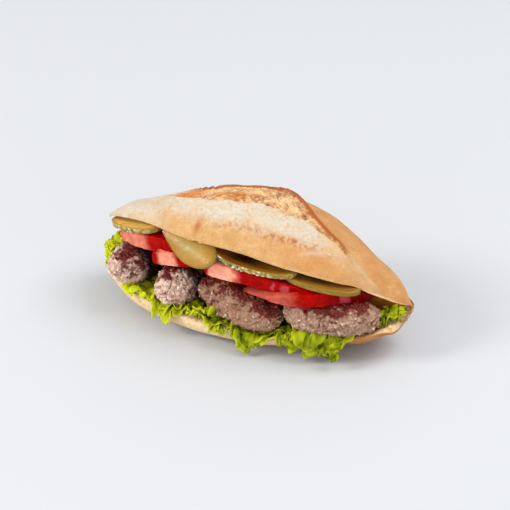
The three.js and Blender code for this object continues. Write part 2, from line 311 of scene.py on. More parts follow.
# Where it is floury, browned and toasted: dusty on the left, darker on the right and underneath, partly
# from browning and partly as painted shade; the cut crumb near the right tip has a painted orange glow.
patchy = noise(plain, 12, 16, 2)
pale_lip = smooth(across, -0.9, -1) * (1 - smooth(s, 0.3, 0.6))
# Painted shade: the crust darkens towards the right, besides browning more behind.
browned_crust = np.clip(0.2 + 0.5 * across + 0.9 * smooth(s, 0.1, 0.7) + 0.3 * patchy, 0, 1)
# Painted glow: the cut crumb near the right tip is coloured orange, as if lit through from behind.
browned_crumb = between(s, (0.6, 0.7), (0.92, 0.96)) * smooth(across, -0.3, -0.1)
base_masks = {
    "crumb": np.maximum(crumb * (1 - smooth(across, 0.88, 0.96)), 0.75 * pale_lip * crust),
    "torn": 0 * crumb,
    # Painted shade in the holes of the cut crumb.
    "pit": smooth(0.5 - hole, 0, 0.4) * crumb,
    "flour": np.clip(0.85 + 0.5 * patchy - 0.8 * smooth(s, -0.3, 0.6), 0, 1) * crust,
    "browned": browned_crust * crust + browned_crumb * crumb,
    # Painted shade: darker towards the bottom and the right end, on top of the toasting underneath.
    "toasted": (0.55 + 0.5 * smooth(9 - points[..., 2], 0, 9)) * smooth(s, 0.05, 0.6) * crust,
}
roll_base = grid_piece("roll_base", points, base_masks)


def crown_plan(s):
    """Width of the crown along the roll: 1 at the middle, less a power of the way out, softened by
    another power."""
    return np.clip(1 - np.abs(s) ** np.where(s > 0, 1.8, 2.6), 0, 1) ** np.where(s > 0, 0.8, 0.6)


def crown_rise(s):
    """Height of the dome along the roll: 1 at its peak, just right of the middle, less a power of the
    way from there, and 0 at the tips, which are blunter than that by a bell and a square."""
    right = s > 0.08
    from_peak = np.where(right, (s - 0.08) / 0.92, (0.08 - s) / 1.08)
    rise = np.clip(1 - from_peak ** np.where(right, 1.8, 1.4), 0, 1) ** np.where(right, 1.08, 0.87)
    return rise * (1 + 0.28 * bump(s, -0.9, 0.14) + 0.95 * np.clip((s - 0.68) / 0.27, 0, 1) ** 2)


def crown_middle(s):
    """Height of the middle of the upper cut face: a parabola that falls to the right, and faster past
    the middle."""
    right_dip = np.where(s > 0, 2 * s - 2.5 * s * s, 0)
    return CROWN_MIDDLE_HEIGHT - 8 * s - 6.5 * s * s + right_dip - 2 * bump(s, 0.95, 0.08)


def crown_lip(s):
    """Angle of the crown's front lip: how far short of a half turn the cut ends the dome, in radians."""
    left = 4 + 12 * smooth(-s, 0.25, 0.75)
    right = 4 - 2.2 * smooth(s, 0, 0.35) - 1.8 * smooth(s, 0.7, 0.85) + 2 * bump(s, 0.71, 0.06)
    return np.pi - np.radians(np.where(s < 0, left, right))


# The score's two edges: station, and degrees over the dome from the back.
SCORE_FRONT = [(-1, 95), (-0.63, 106), (-0.4, 123), (-0.22, 128), (0.1, 128.5), (0.34, 124.5)]
SCORE_FRONT += [(0.54, 126), (0.61, 130.5), (0.66, 138.5), (0.73, 150), (0.83, 172), (1, 185)]
SCORE_BACK = [(-1, 90), (-0.62, 78), (-0.35, 66), (0.02, 65), (0.1, 69), (0.16, 76), (0.22, 85.5)]
SCORE_BACK += [(0.3, 97), (0.365, 106), (0.46, 115), (0.515, 118), (0.595, 122.7), (0.67, 131.6)]
SCORE_BACK += [(0.74, 142.8), (0.79, 153), (1, 185)]


def score_edges(s):
    """Degrees over the dome of the score's front and back edge, straight lines between their points:
    both run down to the front lip near the right tip."""
    front_at, front = np.transpose(SCORE_FRONT)
    back_at, back = np.transpose(SCORE_BACK)
    return np.interp(s, front_at, front), np.interp(s, back_at, back)


def crown_surface(s, angle, across, on_face):
    """The upper half: over the dome from back to front lip by a power of the angle's sine, then back
    along the hollowed cut face, all tilted forward about the roll's length and shifted."""
    dome = CROWN_THICKNESS * crown_rise(s) * np.maximum(0, np.sin(angle)) ** DOME_POWER
    to_lip = (1 + across) / (1 - np.cos(crown_lip(s)))
    lip_height = CROWN_THICKNESS * crown_rise(s) * np.maximum(0, np.sin(crown_lip(s))) ** DOME_POWER
    hollow = CROWN_HOLLOW * crown_rise(s) * np.sin(np.pi * to_lip) ** 2
    up = np.where(on_face == 1, lip_height * to_lip**2 + hollow, dome)
    forward = CROWN_HALF_WIDTH * crown_plan(s) * across
    shift = np.where(s > 0, 1 + 0.5 * bump(s, 0.6, 0.25) - s**6, 1)
    x = np.where(s < 0, CROWN_LEFT_LENGTH, CROWN_RIGHT_LENGTH) * s + CROWN_SHIFT[0] * shift
    y = up * math.sin(CROWN_TILT) - forward * math.cos(CROWN_TILT) + CROWN_SHIFT[1] * shift
    z = crown_middle(s) + forward * math.sin(CROWN_TILT) + up * math.cos(CROWN_TILT)
    z = z + CROWN_SHIFT[2] * shift
    return as_points(x, y, z)


# The crown's columns stand closer together over the score and the front than behind.
rows, crust_columns, face_columns = CROWN_GRID
s = stations(rows, 0.5)
turns = np.interp(np.linspace(0, 1, crust_columns), (0, 0.2, 0.85, 1), (0, 0.42, 0.86, 1))
angle, across, on_face = halves(turns, face_columns, crown_lip(s))
plain = crown_surface(s, angle, across, on_face)
outward = normals_of(plain)
crumb = on_face
crust = 1 - crumb
turn = np.degrees(angle)

# The score: where the crust is torn open, between ragged edges, and the ear along its back edge.
ragged = turn + (3.2 * noise(plain, 7, 21, 2) + 1.5 * noise(plain, 2.4, 20)) * crust
front_edge, back_edge = score_edges(s)
in_length = between(s, (-0.68, -0.6), (0.8, 0.86))
wavy = turn + 1.2 * noise(plain, 9, 19)
past_back = smooth(wavy, back_edge - 0.5, back_edge + 1.5)
torn = past_back * (1 - smooth(ragged, front_edge - 2, front_edge + 1)) * in_length * crust
ear_length = smooth(s, -0.62, -0.4) * (1 - 0.8 * smooth(s, 0.02, 0.25)) * (1 - smooth(s, 0.5, 0.68))
ear = smooth(turn, back_edge - 7, back_edge - 0.5) * (1 - past_back) * ear_length * crust

# The torn crumb: open bubbles of two sizes between stretched strands, rough with crumbs.
warp = wobble(plain, 5, 22)
bubble, _, _ = grains((plain + 1.5 * warp) * (0.8, 1, 1), BUBBLE, 23)
small, _, _ = grains(plain + 0.8 * warp, SMALL_BUBBLE, 43)
foam = 1.2 * (bubble - 0.55) + 1.3 * (small - 0.5)
foam = foam + 0.6 * noise(plain, 8, 24) + 0.5 * noise(plain, 1.6, 29)
rims = 0.9 * bump(ragged, front_edge + 2.5, 3) * in_length

# On the right the score closes to a seam.
open_score = 1 - 0.85 * smooth(s, 0.56, 0.66)
seam = bump(turn, 0.5 * (front_edge + back_edge), 3.5) * between(s, (0.6, 0.68), (0.8, 0.86))

# The crust: slow swellings, a blistered skin, a fold beside the solid toasted spot, small pleats, and a
# faint crease on the right. Behind the ear it steps down. Places are a station and degrees over the dome.
FOLD = (-0.182, 150)
PLEATS = (-0.42, 140)
CREASE = (0.402, 162.8)
SOLID_SPOT = (-0.235, 162)
rough = between(turn, (120, 130), (158, 166)) * smooth(s, -0.8, -0.5)
blisters = (0.08 + 0.1 * rough) * noise(plain, 2.0, 30, 2)
fold = FOLD[0] - 0.001 * (turn - FOLD[1])
fold_profile = 0.9 * bump(s, fold + 0.012, 0.012) - 0.7 * bump(s, fold - 0.018, 0.02)
folded = smooth(turn, 142, 152) * fold_profile
pleats = 0.25 * np.sin(260 * s + 0.1 * turn) * bump(s, PLEATS[0], 0.11) * bump(turn, PLEATS[1], 10)
crease_line = CREASE[1] - 105 * (s - CREASE[0])
crease = bump(turn, crease_line, 1.8) * between(s, (0.36, 0.42), (0.58, 0.64))
swell = 0.5 * noise(plain, 26, 25) + 0.22 * noise(plain, 8, 26)
swell = swell + blisters + folded + pleats + 0.35 * crease
step = EAR_STEP * between(back_edge - turn, (1, 9), (35, 60)) * between(s, (-0.6, -0.35), (0.12, 0.5))
score_relief = rims * (1 - torn) + torn * (foam - SCORE_DEPTH) + EAR_HEIGHT * ear - step
relief = swell + 0.4 * seam + score_relief * open_score * crust
cut_hole, _, _ = grains(plain, CRUMB_HOLE, 27)
pores = -1.1 * smooth(0.42 - cut_hole, 0, 0.3) + 0.25 * noise(plain, 2.6, 28, 2)
inner = 1 - smooth(np.abs(across), 0.97, 1)
relief = np.where(crumb == 1, inner * pores, relief)
points = plain + outward * relief[..., None]

# Speckled toasted spots: station, degrees over the dome, half sizes of both, strength. Then a solid one.
TOASTED = [(-0.35, 154, 0.06, 6, 0.3), (0.2, 156, 0.06, 4, 0.8), (0.1, 153, 0.05, 5, 0.4)]
TOASTED += [(0.3, 154.5, 0.05, 4, 0.65), (0.38, 152.5, 0.06, 4, 0.8), (0.5, 148, 0.07, 4, 0.6)]
TOASTED += [(0.0, 156, 0.06, 5, 0.5), (-0.1, 157, 0.05, 5, 0.4), (-0.52, 148, 0.05, 5, 0.3)]
toasted = sum(power * bump(s, m, r) * bump(turn, n, q) for m, n, r, q, power in TOASTED)
toasted = 1.1 * toasted * smooth(noise(plain, 1.6, 31, 2), -0.25, 0.45)
solid_spot = bump(s, SOLID_SPOT[0] - 0.001 * (turn - 163), 0.019) * bump(turn, SOLID_SPOT[1], 8)
toasted = toasted + solid_spot * (0.9 + 0.5 * noise(plain, 3, 34))

# A band of flour below the score, flour all over the left end, and a darker crust behind the ear.
below = ragged - front_edge
patchy = noise(plain, 10, 32, 2)
band = between(below, (-3, 1), (14, 38)) * (0.9 + 0.25 * patchy)
band = band * (1 - 0.85 * smooth(s, 0.38, 0.62))
left_dust = smooth(-s, 0.3, 0.7) * np.clip(1.05 - 0.6 * smooth(turn, 145, 170) + 0.4 * patchy, 0, 1)
behind = (1 - smooth(turn, back_edge - 4, back_edge + 3)) * (0.75 + 0.5 * patchy)

# Browning: the ear's crisp edge, the torn crumb beside it and at the left, and the crust near the lip,
# which on the right is painted shade. The cut crumb near the right tip has a painted orange glow.
edge_width = mix(3.0, 1.3, smooth(s, 0.15, 0.45))
edge_brown = bump(wavy, back_edge - 0.5, edge_width) * between(s, (-0.6, -0.4), (0.45, 0.7))
edge_brown = edge_brown * (1.4 + 0.9 * patchy)
baked = 0.8 * (1 - smooth(ragged, back_edge + 3, back_edge + 9)) * (1 - 0.8 * smooth(s, 0.05, 0.2))
baked = np.maximum(baked, 0.85 * smooth(-s, 0.28, 0.4))
baked = np.maximum(baked, 0.9 * bump(s, -0.1, 0.13) * bump(ragged, 112, 8))
torn_look = torn * smooth(wavy, back_edge + 0.5, back_edge + 3) * (1 - smooth(s, 0.58, 0.68))
cut_lip = smooth(turn, 176.5, 179) * (1 - bump(s, 0.6, 0.11))
# Painted shade: the crust near the lip darkens on the right.
front_brown = 0.75 * smooth(turn, 145, 162) * smooth(s, 0.05, 0.5)
flour = np.maximum(band, left_dust) * (1 - torn_look) + 0.4 * crease + 0.35 * seam
browned_crust = np.clip(mix(behind + front_brown, baked, torn), 0, 1) * (1 - smooth(turn, 175, 178))
# Painted glow: orange cut crumb near the right tip.
browned_crumb = between(s, (0.7, 0.8), (0.91, 0.96))
crown_masks = {
    "crumb": np.maximum(crumb * smooth(across, -0.96, -0.88), 0.8 * cut_lip * crust),
    "torn": torn_look,
    # Painted shade in the torn crumb's bubbles and the cut crumb's holes.
    "pit": np.clip(0.32 - 0.85 * foam, 0, 1) * torn + smooth(0.5 - cut_hole, 0, 0.4) * crumb,
    "flour": np.clip(flour, 0, 1) * crust,
    "browned": browned_crust * crust + browned_crumb * crumb,
    "toasted": np.clip(np.maximum(toasted, edge_brown), 0, 1) * crust,
}
crown = grid_piece("roll_crown", points, crown_masks)

# Base and crown meet along the back and at the tips, and are joined to one closed roll.
union = roll_base.modifiers.new("crown", "BOOLEAN")
union.operation = "UNION"
union.solver = "MANIFOLD"
union.object = crown
depsgraph = bpy.context.evaluated_depsgraph_get()
joined = bpy.data.meshes.new_from_object(roll_base.evaluated_get(depsgraph))
bpy.data.objects.remove(crown)
bpy.data.objects.remove(roll_base)
roll = bpy.data.objects.new("bread_roll", joined)
bpy.context.collection.objects.link(roll)
joined.shade_smooth()


def linear(colour):
    """A colour given as sRGB hex, such as "dca86a", as linear red, green, blue and alpha."""
    parts = [int(colour[k : k + 2], 16) / 255 for k in (0, 2, 4)]
    return [p / 12.92 if p < 0.04045 else ((p + 0.055) / 1.055) ** 2.4 for p in parts] + [1]


def add_node(tree, kind, inputs, **settings):
    """Adds one node: settings are its own properties, and inputs its sockets, each given a value or a
    link."""
    node = tree.nodes.new(kind)
    for key, value in settings.items():
        setattr(node, key, value)
    for key, value in inputs.items():
        if isinstance(value, bpy.types.NodeSocket):
            tree.links.new(value, node.inputs[key])
        else:
            node.inputs[key].default_value = value
    return node


def new_material(name):
    """An empty node material, with its node tree."""
    material = bpy.data.materials.new(name)
    material.use_nodes = True
    material.node_tree.nodes.clear()
    return material, material.node_tree


# Baked wheat crust: starch and sugar browned dry in the oven, mottled from cream to golden brown, with
# flour dust beside the score and open crumb where it tore or was cut. It looks matt, grainy and warm.
# Painted shade darkens its pits and, with the browning, its right end and underside; the orange of the
# cut crumb at the right tip is a painted glow.
PORE = 1.3  # mm, blisters of the crust; real ones are half this and would be too fine to show
MOTTLE = 9  # mm, patches of stronger browning
SPECKLE = 2.2  # mm, clots of flour
GRIT = 1.0  # mm, specks of bran; real ones are finer and wouldn't show
baked_crust, tree = new_material("baked_crust")
spot = add_node(tree, "ShaderNodeTexCoord", {}).outputs["Object"]
masks = {}
for key in crown_masks:
    masks[key] = add_node(tree, "ShaderNodeAttribute", {}, attribute_name=key).outputs["Fac"]
textures = {}
for key, size, detail in (
    ("patches", MOTTLE, 4),
    ("speckle", SPECKLE, 5),
    ("blisters", PORE, 2),
    ("grit", GRIT, 3),
):
    texture = {"Vector": spot, "Scale": 1000 / size, "Detail": detail, "Roughness": 0.65}
    textures[key] = add_node(tree, "ShaderNodeTexNoise", texture).outputs["Fac"]
spread = {}
for key, low, high in (("patches", 0.36, 0.66), ("speckle", 0.36, 0.62), ("grit", 0.4, 0.62)):
    limits = {"Value": textures[key], "From Min": low, "From Max": high}
    spread[key] = add_node(tree, "ShaderNodeMapRange", limits).outputs["Result"]
factors = {0: spread["grit"], 1: 0.5}
grain_share = add_node(tree, "ShaderNodeMath", factors, operation="MULTIPLY").outputs[0]
limits = {"Value": textures["speckle"], "From Min": 0.62, "From Max": 0.42, "To Min": 0.4}
dusting = add_node(tree, "ShaderNodeMapRange", limits).outputs["Result"]
factors = {0: masks["flour"], 1: dusting}
flour_share = add_node(tree, "ShaderNodeMath", factors, operation="MULTIPLY").outputs[0]

# Colours laid over one another. A colour mix takes its share at socket 0 and its colours at 6 and 7, and
# gives its result at 2.
tones = {}
for key, pattern, light, dark in (
    ("golden", "patches", "cfab76", "be9358"),
    ("deeper", "patches", "cd9660", "bb824a"),
    ("strands", "patches", "e6c898", "d0a06a"),
    ("cut", "speckle", "f0dcb4", "dcb67c"),
):
    coat = {0: spread[pattern], 6: linear(light), 7: linear(dark)}
    tones[key] = add_node(tree, "ShaderNodeMix", coat, data_type="RGBA").outputs[2]
# The darker pits are painted shade in the hollows.
for key, mask, over in (
    ("strands", "browned", "c87c34"),
    ("strands", "pit", "8f4f28"),
    ("cut", "pit", "c08a50"),
    # The cut crumb's orange near the right tip is a painted glow of light through it.
    ("cut", "browned", "ffa03a"),
):
    coat = {0: masks[mask], 6: tones[key], 7: linear(over)}
    tones[key] = add_node(tree, "ShaderNodeMix", coat, data_type="RGBA").outputs[2]
colour = tones["golden"]
# The browned and toasted coats are partly painted shade on the right and underneath.
for share, over in (
    (masks["browned"], tones["deeper"]),
    (grain_share, linear("b97c42")),
    (flour_share, linear("c4bdae")),
    (masks["toasted"], linear("9e5426")),
    (masks["torn"], tones["strands"]),
    (masks["crumb"], tones["cut"]),
):
    coat = {0: share, 6: colour, 7: over}
    colour = add_node(tree, "ShaderNodeMix", coat, data_type="RGBA").outputs[2]
heights = {0: textures["blisters"], 1: textures["speckle"]}
fine_relief = add_node(tree, "ShaderNodeMath", heights, operation="ADD").outputs[0]
grain = {"Height": fine_relief, "Strength": 0.5, "Distance": 0.0007}
normal = add_node(tree, "ShaderNodeBump", grain).outputs["Normal"]
surface = {"Base Color": colour, "Roughness": 0.75, "IOR": 1.45, "Specular IOR Level": 0.25}
shader = add_node(tree, "ShaderNodeBsdfPrincipled", surface | {"Normal": normal})
add_node(tree, "ShaderNodeOutputMaterial", {"Surface": shader.outputs[0]})
joined.materials.clear()
joined.materials.append(baked_crust)
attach(roll, "root")
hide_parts("bread")

# --------------------------------------------------------------------------------------- lettuce
# Two leaves of curly lettuce laid on the lower cut face, one on the other. Their frilled margins roll
# over the front lip and hang in lobes; at the right tip they stay inside the lip. Curled scraps of the
# same head are tucked in at both ends and between the meatballs.
LEAF_THICKNESS = 0.7  # a real one has half this, and its edge would be too fine to show
LEAF_GRID = (460, 76)  # rows along it, columns from its back to its front margin
LEAF_HALF_LENGTH = 101
LEAF_ROLL_RADIUS = 2.4  # of its turn round the front lip
LEAF_LIMIT = 58.4  # from the roll's middle line; frills that would hang further out are pressed back


def sheet(name, middle, thickness, flat_place, hem):
    """A closed thin sheet from a grid of points of its middle surface: two skins half the thickness to
    each side along the grid's normals, drawn together over its last few rows and columns. flat_place is
    kept for the veins, and hem, 1 at the frilled margin and towards both tips, for its paler colour,
    which towards the tips is painted light."""
    along = np.gradient(middle, axis=0)
    across = np.gradient(middle, axis=1)
    normal = np.cross(along, across)
    normal = normal / np.maximum(np.linalg.norm(normal, axis=-1, keepdims=True), 1e-9)
    rows, columns = middle.shape[:2]
    from_end = np.minimum(np.arange(rows), np.arange(rows)[::-1])[:, None] / 3
    from_side = np.minimum(np.arange(columns), np.arange(columns)[::-1])[None, :] / 1.5
    half = 0.5 * thickness * np.clip(np.minimum(from_end, from_side + 0.3), 0, 1)
    upper = middle + normal * half[..., None]
    lower = middle - normal * half[..., None]
    ring = np.concatenate([upper, lower[:, ::-1]], axis=1)
    first = ring[:1].mean(axis=1, keepdims=True) + 0 * ring[:1]
    last = ring[-1:].mean(axis=1, keepdims=True) + 0 * ring[:1]
    ends = [first, ring, last]
    masks = {}
    for key, values in (("leaf_place", flat_place), ("hem", hem)):
        both = np.concatenate([values, values[:, ::-1]], axis=1)
        masks[key] = np.concatenate([both[:1], both, both[-1:]])
    return grid_piece(name, np.concatenate(ends), masks)


# How far the front margin reaches past the front lip, at places along the roll; below 0 it stays inside.
LEAF_REACH = [(-107, 0), (-98, -1.5), (-79, 2), (-70, 1.2), (-58, 1), (-51, 1.8), (-49.5, 5), (-42, 7)]
LEAF_REACH += [(-37, 3.8), (-33, 0), (-28, -2.5), (-21.5, -2.5), (-15, 1.2), (-6.5, 1.5), (-2, -3)]
LEAF_REACH += [(6, 1), (12, 2.5), (14.5, 8), (17, 9.5), (20, 8.5), (23.5, 5.5), (28, 3), (34, 1.2)]
LEAF_REACH += [(37, 1.5), (41.5, 3), (44.5, 5.5), (49.5, 7.2), (53, 8.5), (54.5, 13), (57.5, 14.5)]
LEAF_REACH += [(64, 14), (66, 8), (68, 12.5), (74, 12), (76, 8.5), (79, 7.2), (82, 3), (84, 0)]
LEAF_REACH += [(90, -6), (95, -11), (101, -12)]


def leaf_surface(s, w, layer):
    """A leaf's middle surface, layer 1 lying on layer 0 and reaching less far. w runs from its back
    margin, 0, to its front margin, 1: first along the lower cut face, then round the lip on a small
    radius, then straight down. Waves of 13 and 6 mm, with curls of 9 and 4.5 mm and a fine frizz, grow
    towards the front margin and swing sideways a quarter wave later, so that the frills lean over one
    another. Crinkles cover the rest, and two meatballs press the leaf flat."""
    x = LEAF_HALF_LENGTH * s
    station = x / np.where(s < 0, LEFT_LENGTH, RIGHT_LENGTH)
    front = base_front_width(station)
    back = 0.2 * base_back_width(station)
    line = as_points(x, 0, 0)
    reach = np.interp(x, *np.transpose(LEAF_REACH)) + layer * (4 * noise(line, 23, 34) - 4)
    teeth = 2.0 * noise(line, 4, 31 + layer, 2) + 2.2 * np.abs(noise(line, 2, 35 + layer)) - 0.8
    along = w * (front + back + reach + teeth * (1 - np.abs(s) ** 8))
    to_margin = (1 - w) * (front + back + reach)
    free = np.exp(-to_margin / 8)
    weight = 1.1 * bump(x, 22, 20) + 1.1 * bump(x, 84, 13)
    pressed = np.maximum(0.15, 1 - weight * smooth(to_margin, 4, 12))
    ends = 1 - np.abs(s) ** 10
    phase = 2 * np.pi * (x + 5 * noise(line, 17, 32 + layer) + 6 * layer)
    place = as_points(x, along, 0)
    long_place = place * (1, 0.5, 1)
    curl_seeds = ((9, 36), (9, 46), (4.5, 56), (4.5, 66))
    curls = [noise(long_place, size, seed + 2 * layer) for size, seed in curl_seeds]
    frizz = [noise(place, 2.3, seed + layer) for seed in (76, 86)]
    wave = 0.8 * np.sin(phase / 13 + 1) + 0.35 * np.sin(phase / 6.2 + 0.16 * to_margin)
    wave = free * (wave + 1.3 * curls[0] + 2.4 * curls[2]) + 2.0 * free**2 * frizz[0]
    swing = 0.8 * np.cos(phase / 13 + 1) + 0.3 * np.cos(phase / 6.2 + 0.16 * to_margin)
    swing = free * (swing + 1.5 * curls[1] + 2.2 * curls[3]) + 1.7 * free**2 * frizz[1]
    crinkle = 2.6 * noise(place, 4.5, 33, 2) + 1.6 * np.abs(noise(place, 2.6, 30))
    lift = 9 * smooth(-x, 86, 103)
    off = 0.8 + 1.1 * layer + lift + (0.95 * (wave + 1.7 * free) + 0.5 + crinkle) * pressed
    on_face = front + back
    past = along - on_face
    room = LEAF_LIMIT - front - LEAF_ROLL_RADIUS
    off = mix(off, room * np.tanh(off / room), smooth(past, -3, 3))
    y_in = back - along
    half_width = np.where(y_in < 0, front, base_back_width(station))
    inside = y_in / np.maximum(half_width, 0.01)
    height = base_face_height(station, np.clip(inside, -1, 1)) + off
    turned = np.clip(past / LEAF_ROLL_RADIUS, 0, np.pi / 2)
    down = np.maximum(0, past - LEAF_ROLL_RADIUS * np.pi / 2)
    lip = base_face_height(station, -1)
    y_out = -front - (LEAF_ROLL_RADIUS + off) * np.sin(turned)
    z_out = lip - LEAF_ROLL_RADIUS + (LEAF_ROLL_RADIUS + off) * np.cos(turned) - down
    y = np.where(past < 0, y_in, y_out)
    z = np.where(past < 0, height, np.maximum(0.8, z_out))
    # Paler at the margin, and painted light towards both tips, the right one of which lies in shade.
    hem = 0.8 * np.exp(-to_margin / 1.6) + 0.6 * smooth(-x, 10, 70) + 0.8 * smooth(x, 84, 92)
    return np.stack([x + swing * ends * pressed, y, z], axis=-1), place, np.clip(hem, 0, 1)


s = stations(LEAF_GRID[0], 0.6)
w = np.linspace(0, 1, LEAF_GRID[1])[None, :]
middle, flat_place, hem = leaf_surface(s, w, 0)
leaves = [sheet("lettuce_leaf", middle, LEAF_THICKNESS, flat_place, hem)]
# The upper leaf is shorter, and only its front half is made: the rest would lie under the meatballs.
middle, flat_place, hem = leaf_surface(s[20:-40], w[:, 36:], 1)
leaves.append(sheet("lettuce_upper_leaf", middle, LEAF_THICKNESS, flat_place, hem))

# Curled scraps: where each is rooted, its heading and slope in degrees, its length and half width, and
# how many degrees it curls.
SCRAP_ROWS = 60  # and as many columns
SCRAPS = [
    {"at": (-91, -14, 36), "yaw": 195, "pitch": 15, "length": 13, "width": 10, "curl": 70, "seed": 1},
    {"at": (-93, -14, 27), "yaw": 215, "pitch": -30, "length": 13, "width": 9, "curl": 50, "seed": 2},
    {"at": (-91, -19, 33), "yaw": 230, "pitch": 5, "length": 11, "width": 9, "curl": 80, "seed": 3},
    {"at": (-14, -43, 13), "yaw": 285, "pitch": 78, "length": 15, "width": 10, "curl": 50, "seed": 4},
    {"at": (-23, -42, 12), "yaw": 262, "pitch": 75, "length": 13, "width": 7, "curl": 70, "seed": 5},
    {"at": (43, -42, 13), "yaw": 285, "pitch": 60, "length": 12, "width": 9, "curl": 70, "seed": 6},
    {"at": (-4, -47, 12), "yaw": 290, "pitch": 40, "length": 10, "width": 8, "curl": 60, "seed": 9},
    {"at": (95, -14.5, 29), "yaw": 300, "pitch": 25, "length": 13, "width": 9, "curl": 70, "seed": 7},
    {"at": (101, -9, 30), "yaw": 310, "pitch": 20, "length": 9, "width": 7, "curl": 60, "seed": 8},
    {"at": (75, -47, 15), "yaw": 285, "pitch": -75, "length": 8, "width": 4.5, "curl": 30, "seed": 10},
]


def placed(local, at, yaw, rise, tilt=0):
    """Local points turned by degrees of tilt about X, then of rise towards +X, then of yaw, and moved to
    their place."""
    turn = Matrix.Rotation(math.radians(yaw), 3, "Z") @ Matrix.Rotation(math.radians(-rise), 3, "Y")
    turn = turn @ Matrix.Rotation(math.radians(tilt), 3, "X")
    return local @ np.array(turn).T + at


def scrap_surface(at, yaw, pitch, length, width, curl, seed):
    """A scrap's middle surface: a fan that bends down along a circle of curl degrees from root to tip,
    with waves round its margin that grow with the power 2.5 of the distance from its root and middle
    line."""
    a = np.linspace(0, 1, SCRAP_ROWS)[:, None]
    b = np.linspace(-1, 1, SCRAP_ROWS)[None, :]
    half = width * np.sin(np.pi * (0.12 + 0.83 * a) ** 0.8) ** 0.7
    bend = math.radians(curl)
    radius = length / bend
    margin = np.clip(np.maximum(np.abs(b), a), 0, 1) ** 2.5
    round_it = np.arctan2(b, a - 0.35) + 0 * a
    line = as_points(4 * a, 4 * b, seed)
    wave = np.sin(8 * round_it + seed + 1.5 * noise(line, 2, 40 + seed))
    fine = np.sin(19 * round_it + 2 * seed)
    flat_place = as_points(length * a + 31 * seed, width * b, 0)
    off = margin * (1.7 * wave + 0.9 * fine) + 1.2 * b * b + 2.0 * noise(flat_place, 3.5, 41, 2)
    grown = 1 + margin * (0.12 * np.cos(8 * round_it + seed) + 0.07 * np.cos(19 * round_it))
    out = radius * np.sin(bend * a) * grown
    up = radius * (np.cos(bend * a) - 1) + off
    side = half * b * grown
    local = as_points(out, side, up)
    # Paler at the margin, and painted light on the scraps towards the left end, more the further left.
    hem = np.clip(0.8 * margin**2 - 0.01 * at[0], 0, 1)
    return placed(local, at, yaw, pitch), flat_place, hem


for number, scrap in enumerate(SCRAPS):
    middle, flat_place, hem = scrap_surface(**scrap)
    leaves.append(sheet(f"lettuce_scrap_{number + 1}", middle, LEAF_THICKNESS, flat_place, hem))

# Raw lettuce: a thin wet leaf, yellow-green with paler veins, a waxy skin that shines softly, and light
# that soaks through it, so its frills glow.
VEIN_CELL = 5  # mm, between veins
VEIN_WANDER = 2.5  # mm, how far they stray
VEIN_BEND = 3  # mm, between their bends
SHADE_PATCH = 6  # mm, patches of darker green, painted shade of the folds
fresh_leaf, tree = new_material("fresh_leaf")
leaf_place = add_node(tree, "ShaderNodeAttribute", {}, attribute_name="leaf_place").outputs["Vector"]
hem_mask = add_node(tree, "ShaderNodeAttribute", {}, attribute_name="hem").outputs["Fac"]
texture = {"Vector": leaf_place, "Scale": 1 / VEIN_BEND, "Detail": 2}
wander = add_node(tree, "ShaderNodeTexNoise", texture).outputs["Color"]
stray = {0: wander, 1: (VEIN_WANDER, VEIN_WANDER, VEIN_WANDER), 2: leaf_place}
bent = add_node(tree, "ShaderNodeVectorMath", stray, operation="MULTIPLY_ADD").outputs[0]
texture = {"Vector": bent, "Scale": 1 / VEIN_CELL}
veins = add_node(tree, "ShaderNodeTexVoronoi", texture, feature="DISTANCE_TO_EDGE").outputs["Distance"]
limits = {"Value": veins, "From Max": 0.1, "To Min": 0.5, "To Max": 0.0}
vein_share = add_node(tree, "ShaderNodeMapRange", limits).outputs["Result"]
texture = {"Vector": leaf_place, "Scale": 1 / SHADE_PATCH, "Detail": 5}
shade = add_node(tree, "ShaderNodeTexNoise", texture).outputs["Fac"]
limits = {"Value": shade, "From Min": 0.41, "From Max": 0.59}
shade_share = add_node(tree, "ShaderNodeMapRange", limits).outputs["Result"]
# The darker patches are painted shade of folds.
colour = linear("c0ca12")
# The paler hem is painted light towards the tips.
for share, over in ((shade_share, "3e4e00"), (hem_mask, "e6ec2c"), (vein_share, "d2da30")):
    coat = {0: share, 6: colour, 7: linear(over)}
    colour = add_node(tree, "ShaderNodeMix", coat, data_type="RGBA").outputs[2]
grain = {"Height": veins, "Strength": 0.7, "Distance": 0.0014}
normal = add_node(tree, "ShaderNodeBump", grain).outputs["Normal"]
surface = {"Base Color": colour, "Roughness": 0.3, "IOR": 1.42, "Specular IOR Level": 0.13}
skin = add_node(tree, "ShaderNodeBsdfPrincipled", surface | {"Normal": normal}).outputs[0]
through = add_node(tree, "ShaderNodeBsdfTranslucent", {"Color": colour, "Normal": normal}).outputs[0]
both = add_node(tree, "ShaderNodeMixShader", {0: 0.33, 1: skin, 2: through})
add_node(tree, "ShaderNodeOutputMaterial", {"Surface": both.outputs[0]})
for piece in leaves:
    piece.data.materials.append(fresh_leaf)
    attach(piece, "root")
    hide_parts("lettuce")

